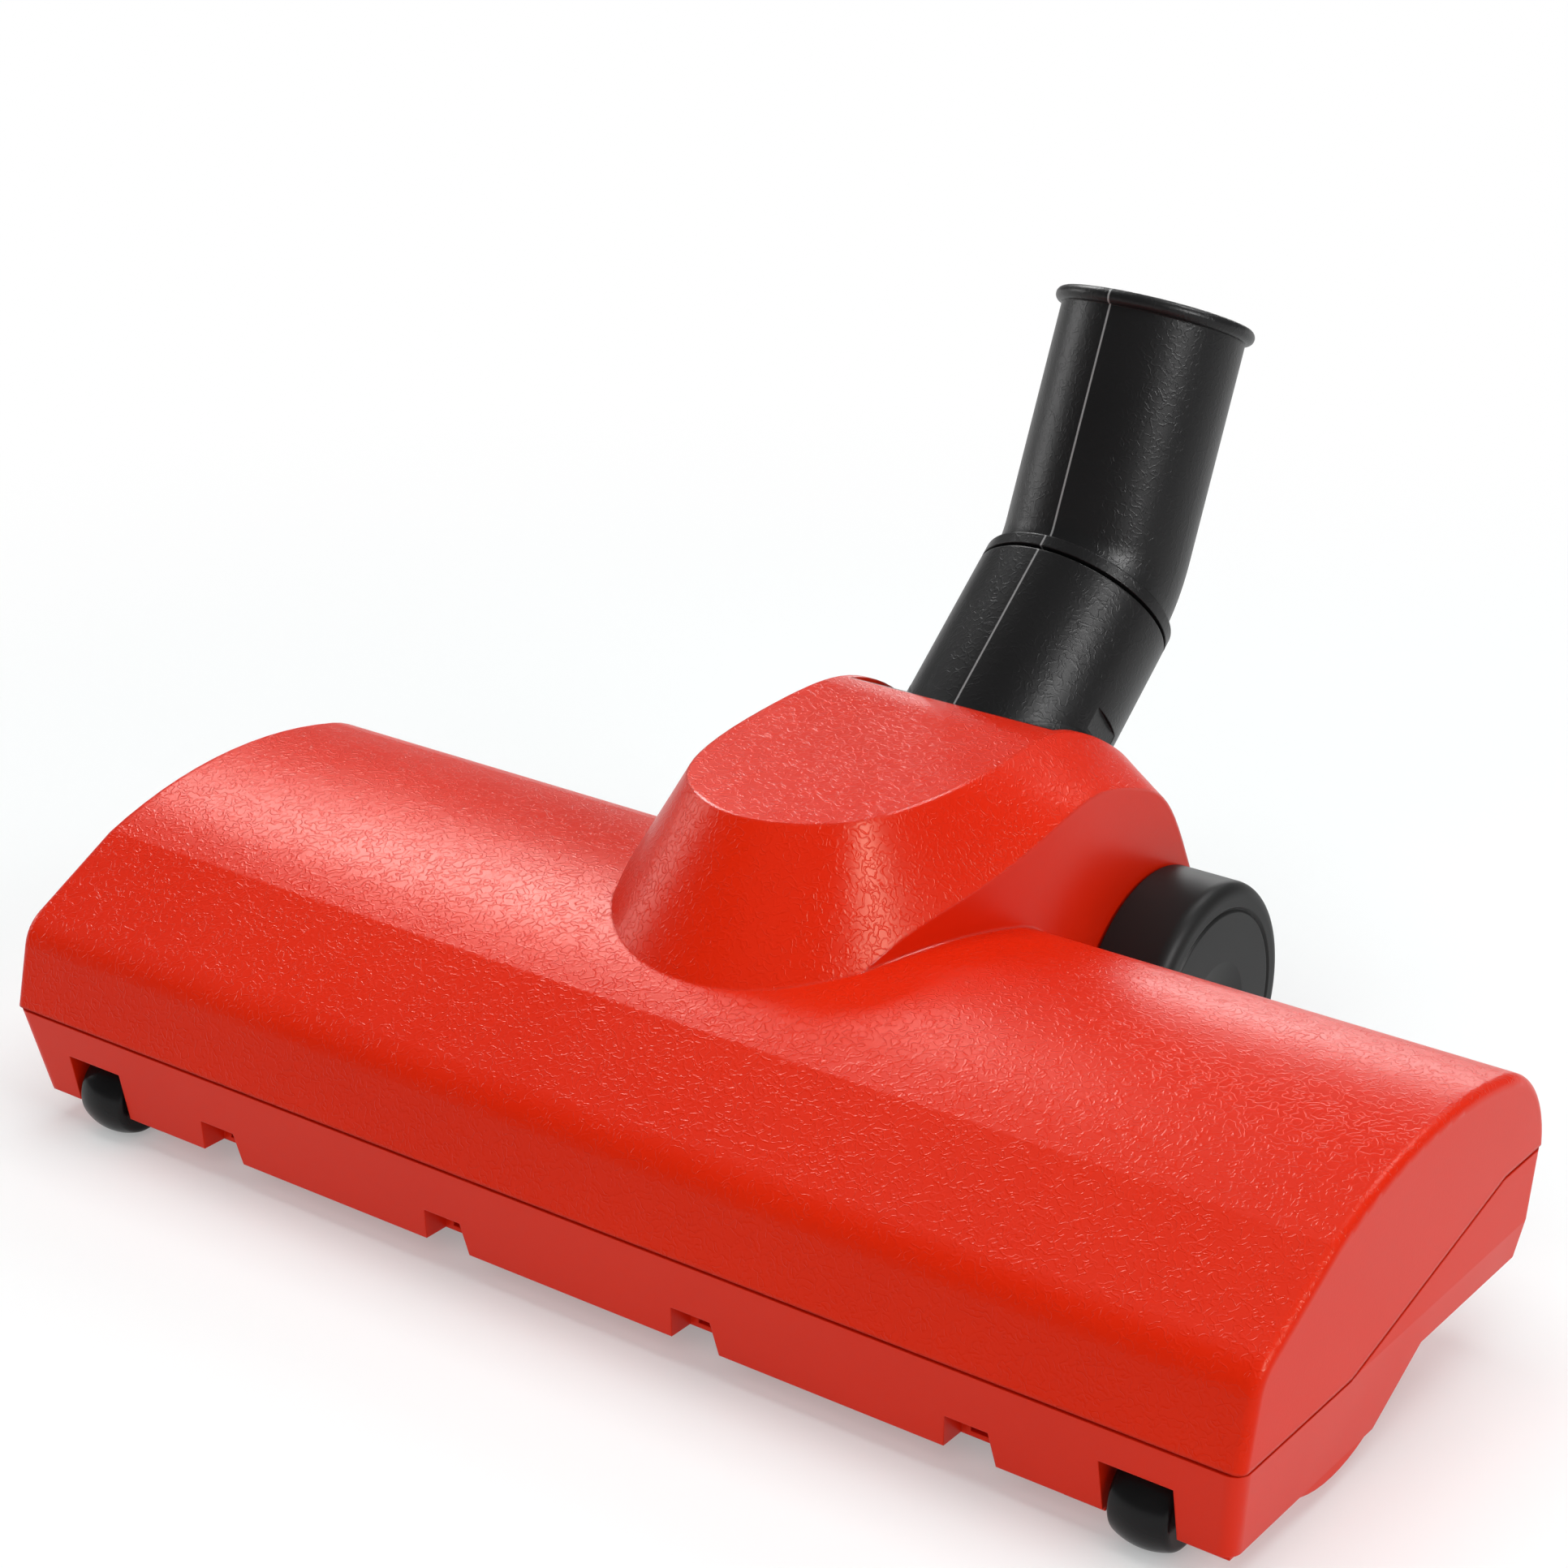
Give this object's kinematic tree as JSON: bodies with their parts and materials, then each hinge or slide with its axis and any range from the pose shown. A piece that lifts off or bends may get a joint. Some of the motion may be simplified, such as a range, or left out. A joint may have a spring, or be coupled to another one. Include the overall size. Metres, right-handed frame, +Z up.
{
  "type": "vacuum floor brush head",
  "caption": "Wide air-driven floor brush head: spinning bristle roller under a humped cover, rear wheels, front casters, and a tilting, swivelling bent neck for a wand.",
  "frame": {"origin": "floor level, below the middle of the whole object's length and depth", "axes": "+X along the head, to the belt side; +Y back, from the brush to the neck; +Z up from the floor"},
  "size_m": [0.28, 0.2188, 0.1597],
  "materials": {
    "cover_plastic": "moulded orange-red plastic with a fine wrinkled grain",
    "red_plastic": "smooth satin moulded orange-red plastic",
    "black_plastic": "black moulded plastic with a fine wrinkled grain",
    "roller_black": "satin black extruded plastic",
    "bristle_nylon": "black nylon bristle",
    "wheel_black": "matte black, smooth",
    "caster_black": "satin black, smooth",
    "strip_rubber": "matte black lip",
    "belt_rubber": "matte black belt",
    "inner_plastic": "plain natural plastic",
    "pin_steel": "ground steel",
    "screw_steel": "blackened steel",
    "bush_bronze": "sintered bronze"
  },
  "bodies": {
    "head": {"top_cover": "cover_plastic", "base_housing": "red_plastic", "housing_screws": "screw_steel", "sealing_strip": "strip_rubber", "roller_hood": "red_plastic", "roller_bush_left": "bush_bronze", "roller_bush_right": "bush_bronze", "shaft_bush_left": "bush_bronze", "shaft_bush_right": "bush_bronze", "shaft_bush_outer": "bush_bronze", "drive_belt": "belt_rubber", "rear_axle": "pin_steel", "wheel_washer_left": "inner_plastic", "wheel_washer_right": "inner_plastic", "caster_pin_left": "pin_steel", "caster_pin_right": "pin_steel"},
    "roller": {"roller_tube": "roller_black", "roller_bristles": "bristle_nylon", "roller_plug_left": "roller_black", "roller_plug_right": "roller_black", "roller_pulley": "inner_plastic"},
    "turbine": {"turbine_rotor": "inner_plastic", "turbine_shaft": "pin_steel", "drive_pinion": "inner_plastic"},
    "flap": {"turbine_flap": "red_plastic"},
    "sleeve": {"neck_sleeve": "black_plastic"},
    "tube": {"neck_tube": "black_plastic", "swivel_clip": "pin_steel"},
    "wheel_left_body": {"wheel_left": "wheel_black"},
    "wheel_right_body": {"wheel_right": "wheel_black"},
    "caster_left_body": {"caster_left": "caster_black"},
    "caster_right_body": {"caster_right": "caster_black"}
  },
  "joints": [
    {"name": "roller_spin", "type": "hinge", "parent": "head", "child": "roller", "pos_m": [0, -0.07439, 0.022], "axis": [1, 0, 0], "continuous": true},
    {"name": "turbine_spin", "type": "hinge", "parent": "head", "child": "turbine", "pos_m": [0, -0.01804, 0.039], "axis": [1, 0, 0], "continuous": true},
    {"name": "flap_hinge", "type": "hinge", "parent": "head", "child": "flap", "pos_m": [0, -0.03379, 0.0148], "axis": [-1, 0, 0], "range_deg": [0, 100]},
    {"name": "neck_tilt", "type": "hinge", "parent": "head", "child": "sleeve", "pos_m": [0, 0.02162, 0.0609], "axis": [1, 0, 0], "range_deg": [-52, 2]},
    {"name": "neck_swivel", "type": "hinge", "parent": "sleeve", "child": "tube", "pos_m": [0, 0.02162, 0.0609], "axis": [0, 0.766, 0.6428], "continuous": true},
    {"name": "wheel_left_spin", "type": "hinge", "parent": "head", "child": "wheel_left_body", "pos_m": [0, 0.03161, 0.0272], "axis": [1, 0, 0], "continuous": true},
    {"name": "wheel_right_spin", "type": "hinge", "parent": "head", "child": "wheel_right_body", "pos_m": [0, 0.03161, 0.0272], "axis": [1, 0, 0], "continuous": true},
    {"name": "caster_left_spin", "type": "hinge", "parent": "head", "child": "caster_left_body", "pos_m": [0, -0.09949, 0.0084], "axis": [1, 0, 0], "continuous": true},
    {"name": "caster_right_spin", "type": "hinge", "parent": "head", "child": "caster_right_body", "pos_m": [0, -0.09949, 0.0084], "axis": [1, 0, 0], "continuous": true}
  ],
  "couplings": [
    {"joint": "turbine_spin", "follows": "roller_spin", "ratio": 2}
  ]
}
